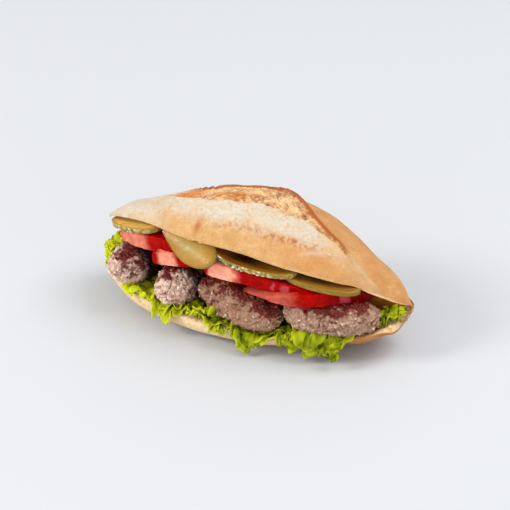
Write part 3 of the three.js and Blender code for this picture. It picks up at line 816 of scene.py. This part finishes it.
# --------------------------------------------------------------------------------------- meatballs
# Four fingers of minced meat, rolled by hand and seared on a flat iron: grey-brown and coarse, with pale
# flecks of fat, and dark, glossy patches on top, where they lay on the iron, which are partly painted
# shade under the slices. They lie in the lettuce.
# Each one's middle, half sizes, heading and rise in degrees, and how brown it is done, from 0 to 1.
MEATBALLS = [
    {"at": (-72, -20, 34), "half": (27, 14.3, 14), "yaw": 68, "rise": 0, "done": 0.0, "seed": 1},
    {"at": (-36, -25, 30), "half": (28, 14.3, 14), "yaw": 74, "rise": 0, "done": 0.12, "seed": 2},
    {"at": (6, -37, 27.6), "half": (32.5, 14.3, 13.4), "yaw": -15, "rise": -3, "done": 0.9, "seed": 3},
    {"at": (67.4, -31, 29.8), "half": (31, 14.3, 12.6), "yaw": 13, "rise": 0, "done": 0.76, "seed": 4},
]
MINCE = 3.2  # mm, width of the mincer's strands
MEATBALL_GRID = (170, 210)  # rows along it, columns round it
LEAN = [0.4, 0.1, 0.25, 0]  # how far each one's seared patch, partly painted shade, leans to the right
PALER = [0.16, 0.22, 0.11, 0.17]  # how much smaller that patch is
BLOTCHED = [0.8, 0.8, 0.35, 0.35]  # how strong the small seared blotches round it are
SOAKED_TOP = [0, 0, 0.7, 0.7]  # how much painted shade darkens its top, under the slices
SOAKED_BACK = [1, 1, 0, 0]  # and the part of it behind its front end, deep in shadow


def meatball(at, half, yaw, rise, done, seed):
    """A capsule, its radius the sine of the way along to the power 0.75, with a lumpy outline; then
    minced strands as packed grains of two sizes, each at its own height, with cracks, raised along the
    normals."""
    rows, columns = MEATBALL_GRID
    along = np.pi * np.linspace(0, 1, rows)[:, None]
    around = 2 * np.pi * np.arange(columns)[None, :] / columns
    lump = 1 + 0.04 * np.sin(2 * around + 1.7 * seed) * np.sin(3 * along + seed)
    radius = np.sin(along) ** 0.75 * lump
    length, width, height = half
    x = -length * np.cos(along)
    y = width * radius * np.cos(around)
    z = height * radius * np.sin(around)
    local = as_points(x, y, z)
    outward = normals_of(local)
    warp = wobble(local, 4, 50 + 3 * seed, 2)
    strand, gap, label = grains(local + 2.0 * warp, MINCE, 60 + 9 * seed)
    crumb, crumb_gap, crumb_label = grains(local + 0.9 * warp, 0.5 * MINCE, 70 + 9 * seed)
    coarse = 1.7 * (0.55 - strand) + 1.3 * (label - 0.5) * smooth(gap, 0, 0.35)
    fine = 1.1 * (0.5 - crumb) + 0.9 * (crumb_label - 0.5) * smooth(crumb_gap, 0, 0.4)
    relief = coarse + fine + 0.8 * noise(local, 11, 80 + seed, 2) + 0.2 * noise(local, 1.2, 85 + seed)
    cracks = 1 - smooth(np.abs(noise(local, 9, 90 + seed)), 0.0, 0.09)
    relief = relief - 1.0 * cracks * smooth(noise(local, 14, 95 + seed), -0.1, 0.3)
    points = placed(local + outward * relief[..., None], at, yaw, rise)
    facing = placed(outward, (0, 0, 0), yaw, rise)
    number = seed - 1
    # The seared patch is partly painted shade: it covers the tops that lie under the slices.
    upward = facing[..., 2] + LEAN[number] * facing[..., 0] + 0.33 * noise(local, 7, 100 + seed, 2)
    upward = upward - PALER[number]
    seared = smooth(upward + 0.3 * (label - 0.5) + 0.2 * (crumb_label - 0.5), 0.46, 0.64)
    blotch = smooth(noise(local, 4.5, 98 + seed, 2), 0.28, 0.45) * smooth(upward, -0.25, 0.3)
    seared = np.maximum(seared, BLOTCHED[number] * blotch)
    # Painted shade: near-black on the top under the slices and on the part deep behind the front end.
    sunken = SOAKED_TOP[number] * smooth(upward, 0.8, 1.05)
    sunken = sunken + SOAKED_BACK[number] * smooth(local[..., 0], -15, -7)
    masks = {
        "seared": seared,
        # Painted shade where the surface sinks between strands.
        "crevice": smooth(-relief, -0.1, 1.3),
        "strand": label,
        "fat": smooth(crumb_label, 0.86, 0.9) * smooth(crumb_gap, 0.1, 0.5) * (1 - seared),
        "done": done + 0 * label,
        "sunken": np.clip(sunken, 0, 1),
    }
    return grid_piece(f"mince_meatball_{seed}", points, masks)


# Fried mince: coarse cooked meat, grey-pink inside and brown where it is done, matt with a wet gloss of
# juice in patches, glassy and nearly black where it was seared. Painted shade darkens its crevices, its
# top under the slices, the part deep behind and part of the seared patches.
MEAT_MOTTLE = 2.5  # mm, patches of browner meat
MEAT_GRAIN = 0.9  # mm, fibres; real ones are finer and wouldn't show
fried_mince, tree = new_material("fried_mince")
spot = add_node(tree, "ShaderNodeTexCoord", {}).outputs["Object"]
masks = {}
for key in ("seared", "crevice", "strand", "fat", "done", "sunken"):
    masks[key] = add_node(tree, "ShaderNodeAttribute", {}, attribute_name=key).outputs["Fac"]
texture = {"Vector": spot, "Scale": 1000 / MEAT_MOTTLE, "Detail": 4, "Roughness": 0.65}
mottle = add_node(tree, "ShaderNodeTexNoise", texture).outputs["Fac"]
limits = {"Value": mottle, "From Min": 0.42, "From Max": 0.66, "To Max": 0.65}
mottled = add_node(tree, "ShaderNodeMapRange", limits).outputs[0]
coat = {0: mottle, 6: linear("7c1c0c"), 7: linear("2a0501")}
char = add_node(tree, "ShaderNodeMix", coat, data_type="RGBA").outputs[2]
colour = linear("c49c8a")
for share, over in (
    (masks["strand"], linear("f8dccc")),
    (masks["done"], linear("946e50")),
    (mottled, linear("8c5c46")),
    (masks["fat"], linear("e2c6b0")),
    (masks["crevice"], linear("5e3222")),
    (masks["seared"], char),
    (masks["sunken"], linear("220503")),
):
    coat = {0: share, 6: colour, 7: over}
    colour = add_node(tree, "ShaderNodeMix", coat, data_type="RGBA").outputs[2]
texture = {"Vector": spot, "Scale": 1000 / MEAT_GRAIN, "Detail": 3}
fibres = add_node(tree, "ShaderNodeTexNoise", texture).outputs["Fac"]
grain = {"Height": fibres, "Strength": 0.6, "Distance": 0.0008}
normal = add_node(tree, "ShaderNodeBump", grain).outputs["Normal"]
limits = {"Value": mottle, "From Min": 0.35, "From Max": 0.65, "To Min": 0.18, "To Max": 0.55}
juice_gloss = add_node(tree, "ShaderNodeMapRange", limits).outputs[0]
surface = {"Base Color": colour, "Roughness": juice_gloss, "IOR": 1.45, "Specular IOR Level": 0.3}
surface |= {"Subsurface Weight": 0.08, "Subsurface Radius": (0.004, 0.0015, 0.001), "Normal": normal}
shader = add_node(tree, "ShaderNodeBsdfPrincipled", surface)
add_node(tree, "ShaderNodeOutputMaterial", {"Surface": shader.outputs[0]})
for number, finger in enumerate(MEATBALLS):
    piece = meatball(**finger)
    piece.data.materials.append(fried_mince)
    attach(piece, "root")
    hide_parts(f"meatball_{number + 1}")

# --------------------------------------------------------------------------------------- tomato slices
# Four half-moons cut from ripe tomatoes with a sharp knife: the skin side lies behind and the cut side in
# front, with a pale outer wall, wet red flesh and small pockets of jelly. The pale at their left ends is
# partly a painted sheen, and the fourth's right end is darkened as painted shade. They lie on the
# meatballs.
# Each one's middle; its form and thickness, which tomato() explains; its heading, rise and tilt in
# degrees.
TOMATOES = [
    {"at": (-62.5, -31.5, 54.8), "form": (26, 25, 3, 0.7), "thick": (11, 11), "turns": (-19, 12, 2)},
    {"at": (-33, -38, 51), "form": (21, 25, 2, 0.7), "thick": (9.4, 9.4), "turns": (12, 3.5, 2)},
    {"at": (21, -43.5, 50.4), "form": (36.5, 32, 1, 0.7), "thick": (10.6, 9), "turns": (3, -4, 2)},
    {"at": (51, -30, 45.2), "form": (42, 27, 16, 0), "thick": (0.8, 10), "turns": (17, 6.5, 2)},
]
# Along each cut side, from -1 at its left end to 1 at its right one: the middle, the half width and the
# strength of its paler stretches, partly wall and partly painted sheen, and of its jelly pockets.
PALE = [
    [(-0.5, 0.62, 0.55)],
    [(-0.53, 0.3, 0.9)],
    [(-0.72, 0.36, 1.0), (-1, 0.11, -0.9)],
    [(-0.62, 0.5, 0.22)],
]
POCKETS = [[], [], [(0.31, 0.05, 1.0), (0.53, 0.1, 1.0)], [(0.57, 0.09, 0.8)]]
RIPE = [0, 0, 0, 0.85]  # how dark painted shade makes each one's right end
BACK_COLUMNS = 120  # round a slice's back edge
FRONT_COLUMNS = 200  # along its front edge
# A slice's section, from the middle of its underside round its edge to the middle of its top: shares of
# the way, and at each the reach out and the level from -1 to 1.
SLICE_KNOTS = [0, 0.2, 0.32, 0.36, 0.64, 0.68, 0.8, 1]
SLICE_REACH = [0, 0.6, 0.97, 1, 1, 0.97, 0.6, 0]
SLICE_LEVEL = [-1, -1, -1, -0.85, 0.85, 1, 1, 1]


def slice_grid(outline, rings):
    """Carries a closed outline over a slice's section, by straight lines between its knots. Gives the
    grid's reach, level, x and y."""
    t = np.linspace(0, 1, rings)[:, None]
    reach = np.interp(t, SLICE_KNOTS, SLICE_REACH)
    level = np.interp(t, SLICE_KNOTS, SLICE_LEVEL)
    return reach, level, outline[None, :, 0] * reach, outline[None, :, 1] * reach


def tomato(number, at, form, thick, turns):
    """A half moon: half an ellipse behind and a shallow parabola in front, over the slice's section,
    thinner at both ends by a high power of the way out. form holds its half length, its depth, how far
    its front bows out and the share of its half length from which it is full thick; thick holds its
    thickness at the left end and from there on. A bowed slice's long right end droops."""
    half, depth, bow, full_from = form
    inward = (depth - bow) / 2
    turn = np.pi * np.arange(BACK_COLUMNS) / BACK_COLUMNS
    back = np.stack([half * np.cos(turn), depth * np.sin(turn) - inward], axis=-1)
    t = mix(-1, 1, np.arange(FRONT_COLUMNS) / FRONT_COLUMNS)
    front = np.stack([half * t, -bow * (1 - t * t) - inward], axis=-1)
    reach, level, x, y = slice_grid(np.concatenate([back, front]), 64)
    share = x / half
    full = mix(*thick, smooth(x, -half, full_from * half)) * (1 - 0.4 * smooth(share, 0.6, 1))
    full = full * np.maximum(0.05, 1 - np.abs(share) ** 26) ** 0.4
    droop = 0.4 * bow * smooth(x, 0.3 * half, half)
    local = as_points(x, y + inward, level * full / 2 - droop)
    outward = normals_of(local)
    in_front = np.concatenate([np.zeros(BACK_COLUMNS), np.ones(FRONT_COLUMNS)])[None, :]
    cut_side = in_front * smooth(reach, 0.9, 0.99)
    wander = share + 0.05 * noise(local, 5, 105 + number, 2)
    # Paler stretches: partly the pale outer wall, partly a painted sheen.
    pale = 0
    for middle, spread, strength in PALE[number]:
        pale = pale + strength * (1 - smooth(np.abs(wander - middle), 0.5 * spread, 1.25 * spread))
    pocket = 0 * x
    for middle, spread, strength in POCKETS[number]:
        pocket = pocket + strength * (1 - smooth(np.abs(wander - middle), 0.5 * spread, spread))
    pocket = pocket * (1 - smooth(np.abs(level), 0.4, 0.8)) * cut_side
    relief = 0.5 * noise(local, 9, 110 + number, 2) + 0.2 * noise(local, 2.5, 115 + number, 2)
    relief = relief - 0.6 * pocket
    points = placed(local + outward * relief[..., None], at, *turns)
    masks = {
        "pale": np.clip(pale * (1 + 0.25 * noise(local, 3, 118 + number, 2)), 0, 1),
        "pocket": pocket,
        "shine": 1 - np.clip(1.3 * pale, 0, 1),
        # Painted shade on the right end.
        "ripe": RIPE[number] * smooth(share, 0.15, 0.62),
    }
    return grid_piece(f"tomato_slice_{number + 1}", points, masks)


# Cut tomato: wet, dense flesh, deep red with a pink wall and fine fibres, its cut face glossy where the
# juice stands and duller on the wall. The pink is partly a painted sheen.
FIBRE = 3.5  # mm, bundles of fibres; single ones would be too fine to show
tomato_flesh, tree = new_material("tomato_flesh")
spot = add_node(tree, "ShaderNodeTexCoord", {}).outputs["Object"]
masks = {}
for key in ("pale", "pocket", "shine", "ripe"):
    masks[key] = add_node(tree, "ShaderNodeAttribute", {}, attribute_name=key).outputs["Fac"]
texture = {"Vector": spot, "Scale": 1000 / FIBRE, "Detail": 5, "Roughness": 0.6}
fibres = add_node(tree, "ShaderNodeTexNoise", texture).outputs["Fac"]
limits = {"Value": fibres, "From Min": 0.35, "From Max": 0.65}
fibre_share = add_node(tree, "ShaderNodeMapRange", limits).outputs["Result"]
coat = {0: fibre_share, 6: linear("ffb498"), 7: linear("f58e70")}
pink_wall = add_node(tree, "ShaderNodeMix", coat, data_type="RGBA").outputs[2]
# The near-black red on the fourth slice's right end is painted shade.
colour = linear("ae0601")
for share, over in (
    (fibre_share, linear("860201")),
    (masks["ripe"], linear("5c0004")),
    (masks["pale"], pink_wall),
    (masks["pocket"], linear("b8424e")),
):
    coat = {0: share, 6: colour, 7: over}
    colour = add_node(tree, "ShaderNodeMix", coat, data_type="RGBA").outputs[2]
grain = {"Height": fibres, "Strength": 0.3, "Distance": 0.0009}
normal = add_node(tree, "ShaderNodeBump", grain).outputs["Normal"]
limits = {"Value": masks["shine"], "To Min": 0.42, "To Max": 0.2}
gloss = add_node(tree, "ShaderNodeMapRange", limits).outputs[0]
surface = {"Base Color": colour, "Roughness": gloss, "IOR": 1.36, "Specular IOR Level": 0.07}
surface |= {"Subsurface Weight": 0.1, "Subsurface Radius": (0.006, 0.001, 0.0006), "Normal": normal}
shader = add_node(tree, "ShaderNodeBsdfPrincipled", surface)
add_node(tree, "ShaderNodeOutputMaterial", {"Surface": shader.outputs[0]})
for number, half_moon in enumerate(TOMATOES):
    piece = tomato(number, **half_moon)
    piece.data.materials.append(tomato_flesh)
    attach(piece, "root")
    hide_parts(f"tomato_{number + 1}")

# --------------------------------------------------------------------------------------- gherkin slices
# Four lengthwise slices of pickled gherkin on top of the tomato, held down by the crown: translucent,
# yellow-olive flesh with a paler heart, partly a painted highlight, and a bumpy green rind round the
# edge. One droops over the front.
# Each one's middle; its form, which gherkin() explains; its heading, rise and tilt in degrees.
GHERKINS = [
    {"at": (-75, -20, 58.5), "form": (27, 12, 0, 0, 0), "turns": (-30, 17, 0)},
    {"at": (-26.7, -42.5, 65.8), "form": (22, 11.5, 45, 0, 0.45), "turns": (-16, -13, 42)},
    {"at": (14, -36, 60.2), "form": (33, 12, 0, 6, 0), "turns": (-6, -1, 0)},
    {"at": (60.5, -31.1, 53.2), "form": (26, 12, 0, 0, 0), "turns": (10, -8, -3)},
]
SHADED = [0.0, 0.75, 1.0, 0.92]  # how much painted shade turns each slice's face amber
PALE_MIDDLE = [0.1, 0.35, 0.1, 0.1]  # and how much less its middle has
DEEP = [0, 0.2, 1.0, 0.7]  # how dark painted shade makes it under the crown
BUMPY = [0.8, 0.5, 0.9, 0.08]  # how warty each slice's rind is; a smooth rind is yellow-green
WART = 2.6  # between the warts
GHERKIN_THICKNESS = 3.3
GHERKIN_COLUMNS = 280


def gherkin(number, at, form, turns):
    """A long oval, squarer than an ellipse by a power of the sine, over the slice's section, its rind
    raised by warts. form holds its half length, its half width, how many degrees that half width wraps
    over what lies under it, how far its left end lifts, and how much it narrows there."""
    half, width, bend, curl, taper = form
    turn = 2 * np.pi * np.arange(GHERKIN_COLUMNS) / GHERKIN_COLUMNS
    y_out = width * np.sin(turn) * np.maximum(np.abs(np.sin(turn)), 1e-6) ** -0.15
    y_out = y_out * (1 - taper * smooth(-np.cos(turn), -0.2, 1))
    outline = np.stack([half * np.cos(turn), y_out], axis=-1)
    reach, level, x, y = slice_grid(outline, 56)
    z = level * GHERKIN_THICKNESS / 2
    local = as_points(x, y, z)
    x_share = x / half
    y_share = y / width
    outward = normals_of(local)
    rind = smooth(reach, 0.965, 0.99) + 0 * x
    warts, _, _ = grains(local + 1.4 * wobble(local, 3, 145), WART, 130 + number)
    warty = BUMPY[number] * mix(1, 0.3, smooth(x, 0.1 * half, 0.8 * half))
    bumpy = warty * (0.8 * smooth(0.6 - warts, 0, 0.5) + 0.2 * noise(local, 2, 135 + number)) - 0.45
    relief = rind * bumpy + 0.15 * noise(local, 6, 140 + number)
    local = local + outward * relief[..., None]
    x, y, z = np.moveaxis(local, -1, 0)
    lifted = curl * smooth(-x / half, 0.2, 1.1)
    if bend:
        radius = width / math.radians(bend)
        around = y / radius
        from_axis = radius + z
        y = from_axis * np.sin(around)
        z = from_axis * np.cos(around) - radius
    points = placed(as_points(x, y, z + lifted), at, *turns)
    masks = {
        "rind": rind,
        "rim": smooth(reach, 0.84, 0.96) * (1 - rind),
        # A paler heart, partly a painted highlight.
        "heart": 1 - smooth(reach, 0.3, 0.75) + 0 * x,
        "wart": rind * smooth(0.6 - warts, 0, 0.45) * np.clip(1.2 * warty, 0, 1),
        "green": 1 - np.clip(1.4 * warty, 0, 1) + 0 * x,
        # Painted shade, less of it in the middle.
        "shaded": SHADED[number] * (1 - PALE_MIDDLE[number] * (1 - smooth(reach, 0.1, 1))) + 0 * x,
        # Painted shade under the crown's lip.
        "deep": DEEP[number] * smooth(y_share, -0.75, -0.4) * bump(x_share, -0.1, 0.6),
    }
    return grid_piece(f"gherkin_slice_{number + 1}", points, masks)


# Pickled gherkin: firm wet flesh, cloudy yellow, turned amber by painted shade and near-black under the
# crown, with a paler heart that is partly a painted highlight, a sharp sheen of brine, light that soaks
# a little way in, and a dull olive rind with cream warts.
CLOUD = 4  # mm, patches in the flesh
pickled_gherkin, tree = new_material("pickled_gherkin")
spot = add_node(tree, "ShaderNodeTexCoord", {}).outputs["Object"]
masks = {}
for key in ("rind", "rim", "heart", "wart", "shaded", "green", "deep"):
    masks[key] = add_node(tree, "ShaderNodeAttribute", {}, attribute_name=key).outputs["Fac"]
texture = {"Vector": spot, "Scale": 1000 / CLOUD, "Detail": 4}
cloudy = add_node(tree, "ShaderNodeTexNoise", texture).outputs["Fac"]
limits = {"Value": cloudy, "From Min": 0.35, "From Max": 0.65}
clouds = add_node(tree, "ShaderNodeMapRange", limits).outputs["Result"]
rind_colour = linear("a8944c")
for share, over in ((clouds, "645224"), (masks["green"], "886810"), (masks["wart"], "e8dab4")):
    coat = {0: share, 6: rind_colour, 7: linear(over)}
    rind_colour = add_node(tree, "ShaderNodeMix", coat, data_type="RGBA").outputs[2]
colour = linear("fcd070")
for share, over in (
    (clouds, linear("eabc58")),
    (masks["heart"], linear("e2ca74")),
    (masks["shaded"], linear("7c4808")),
    (masks["deep"], linear("2a0e02")),
    (masks["rim"], linear("867018")),
    (masks["rind"], rind_colour),
):
    coat = {0: share, 6: colour, 7: over}
    colour = add_node(tree, "ShaderNodeMix", coat, data_type="RGBA").outputs[2]
grain = {"Height": cloudy, "Strength": 0.3, "Distance": 0.0009}
normal = add_node(tree, "ShaderNodeBump", grain).outputs["Normal"]
surface = {"Base Color": colour, "Roughness": 0.24, "IOR": 1.37, "Specular IOR Level": 0.4}
surface |= {"Subsurface Weight": 0.2, "Subsurface Radius": (0.004, 0.003, 0.001), "Normal": normal}
shader = add_node(tree, "ShaderNodeBsdfPrincipled", surface)
add_node(tree, "ShaderNodeOutputMaterial", {"Surface": shader.outputs[0]})
for number, long_slice in enumerate(GHERKINS):
    piece = gherkin(number, **long_slice)
    piece.data.materials.append(pickled_gherkin)
    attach(piece, "root")
    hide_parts(f"gherkin_{number + 1}")

# --------------------------------------------------------------------------------------- studio
# A pale matt board to stand on and four soft square lights: the key from the upper left, two weak ones
# low in front and on the right, and one high behind. The camera has a long lens, stands a little above
# the sandwich and is turned to its open side.
FLOOR_HALF = 3.0  # metres
LIGHT_DISTANCE = 2.6  # metres
floor_mesh = bpy.data.meshes.new("floor")
corners = np.array([(-1, -1, 0), (1, -1, 0), (1, 1, 0), (-1, 1, 0)]) * FLOOR_HALF
floor_mesh.from_pydata(corners, [], [(0, 1, 2, 3)])
floor = bpy.data.objects.new("floor", floor_mesh)
bpy.context.collection.objects.link(floor)

# Painted board: a light cool grey, matt, so that it takes a soft shadow and hardly mirrors the roll.
matt_board, tree = new_material("matt_board")
shader = add_node(tree, "ShaderNodeBsdfPrincipled", {"Base Color": linear("c4c6c9"), "Roughness": 0.6})
add_node(tree, "ShaderNodeOutputMaterial", {"Surface": shader.outputs[0]})
floor_mesh.materials.append(matt_board)


def way_to(azimuth, elevation):
    """The direction out from the sandwich: azimuth in degrees from its open side towards its right tip,
    and elevation above the board."""
    turn = math.radians(azimuth)
    lift = math.radians(elevation)
    return Vector((math.sin(turn) * math.cos(lift), -math.cos(turn) * math.cos(lift), math.sin(lift)))


def soft_light(name, azimuth, elevation, size, watts, colour):
    """A square area light, size metres wide, on a sphere round the sandwich, turned to face it."""
    way = way_to(azimuth, elevation)
    data = bpy.data.lights.new(name, "AREA")
    data.size = size
    data.energy = watts
    data.color = linear(colour)[:3]
    light = bpy.data.objects.new(name, data)
    light.location = way * LIGHT_DISTANCE
    light.rotation_mode = "QUATERNION"
    light.rotation_quaternion = way.to_track_quat("Z", "Y")
    bpy.context.collection.objects.link(light)


soft_light("key_light", -54, 33, 0.8, 40, "fffaf4")
soft_light("front_light", -8, 16, 2.0, 14, "ffffff")
soft_light("fill_light", 50, 12, 1.4, 14, "ffffff")
soft_light("back_light", 112, 58, 1.6, 40, "ffffff")
world = bpy.data.worlds.new("studio")
bpy.context.scene.world = world
world.use_nodes = True
world.node_tree.nodes["Background"].inputs["Color"].default_value = linear("f4f6fa")
world.node_tree.nodes["Background"].inputs["Strength"].default_value = 0.75

CAMERA_AZIMUTH = 24.984
CAMERA_ELEVATION = 31.845
CAMERA_ROLL = -1.194
CAMERA_DISTANCE = 1.4659  # metres
CAMERA_LENS = 158.4  # on a 36 mm sensor
CAMERA_AIM = Vector((ROLL_MIDDLE + (2.104, -4.73, 43.743)) / 1000)
back_way = way_to(CAMERA_AZIMUTH, CAMERA_ELEVATION)
camera_data = bpy.data.cameras.new("camera")
camera_data.sensor_width = 36
camera_data.lens = CAMERA_LENS
camera_data.clip_start = 0.05
camera_data.clip_end = 50
camera = bpy.data.objects.new("camera", camera_data)
camera.location = CAMERA_AIM + back_way * CAMERA_DISTANCE
camera.rotation_mode = "QUATERNION"
aimed = (-back_way).to_track_quat("-Z", "Y").to_matrix()
camera.rotation_quaternion = (aimed @ Matrix.Rotation(math.radians(CAMERA_ROLL), 3, "Z")).to_quaternion()
bpy.context.collection.objects.link(camera)
bpy.context.scene.camera = camera
bpy.context.scene.view_settings.view_transform = "Standard"
